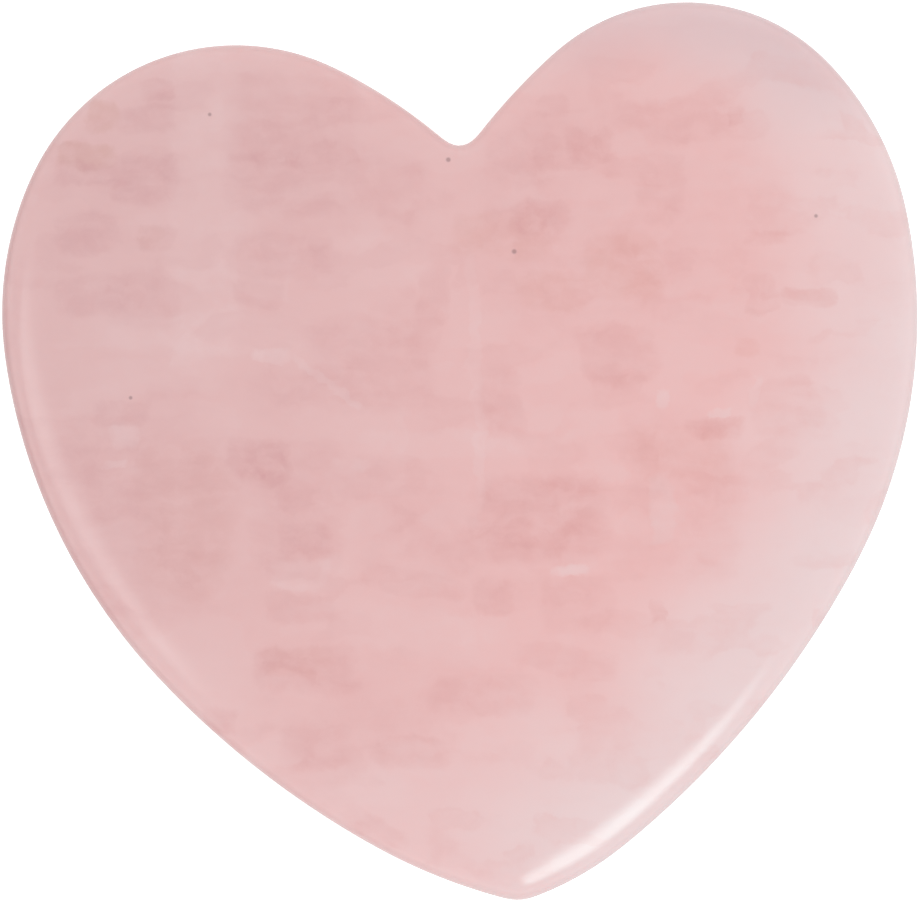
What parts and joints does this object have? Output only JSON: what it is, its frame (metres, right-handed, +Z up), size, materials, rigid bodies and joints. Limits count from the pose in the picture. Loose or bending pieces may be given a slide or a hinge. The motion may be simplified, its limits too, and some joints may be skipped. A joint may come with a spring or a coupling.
{
  "type": "gua sha scraper",
  "caption": "Heart-shaped stone massage plate with a rounded rim, a notch between its two lobes and a blunt tip.",
  "frame": {"origin": "middle of the outline's box, on the face that the plate lies on", "axes": "+Z up through the plate, +X across the two lobes, +Y from the tip towards the notch"},
  "size_m": [0.07, 0.0674, 0.006],
  "materials": {
    "rose_quartz": "polished"
  },
  "bodies": {
    "root": {"stone": "rose_quartz"}
  },
  "joints": []
}
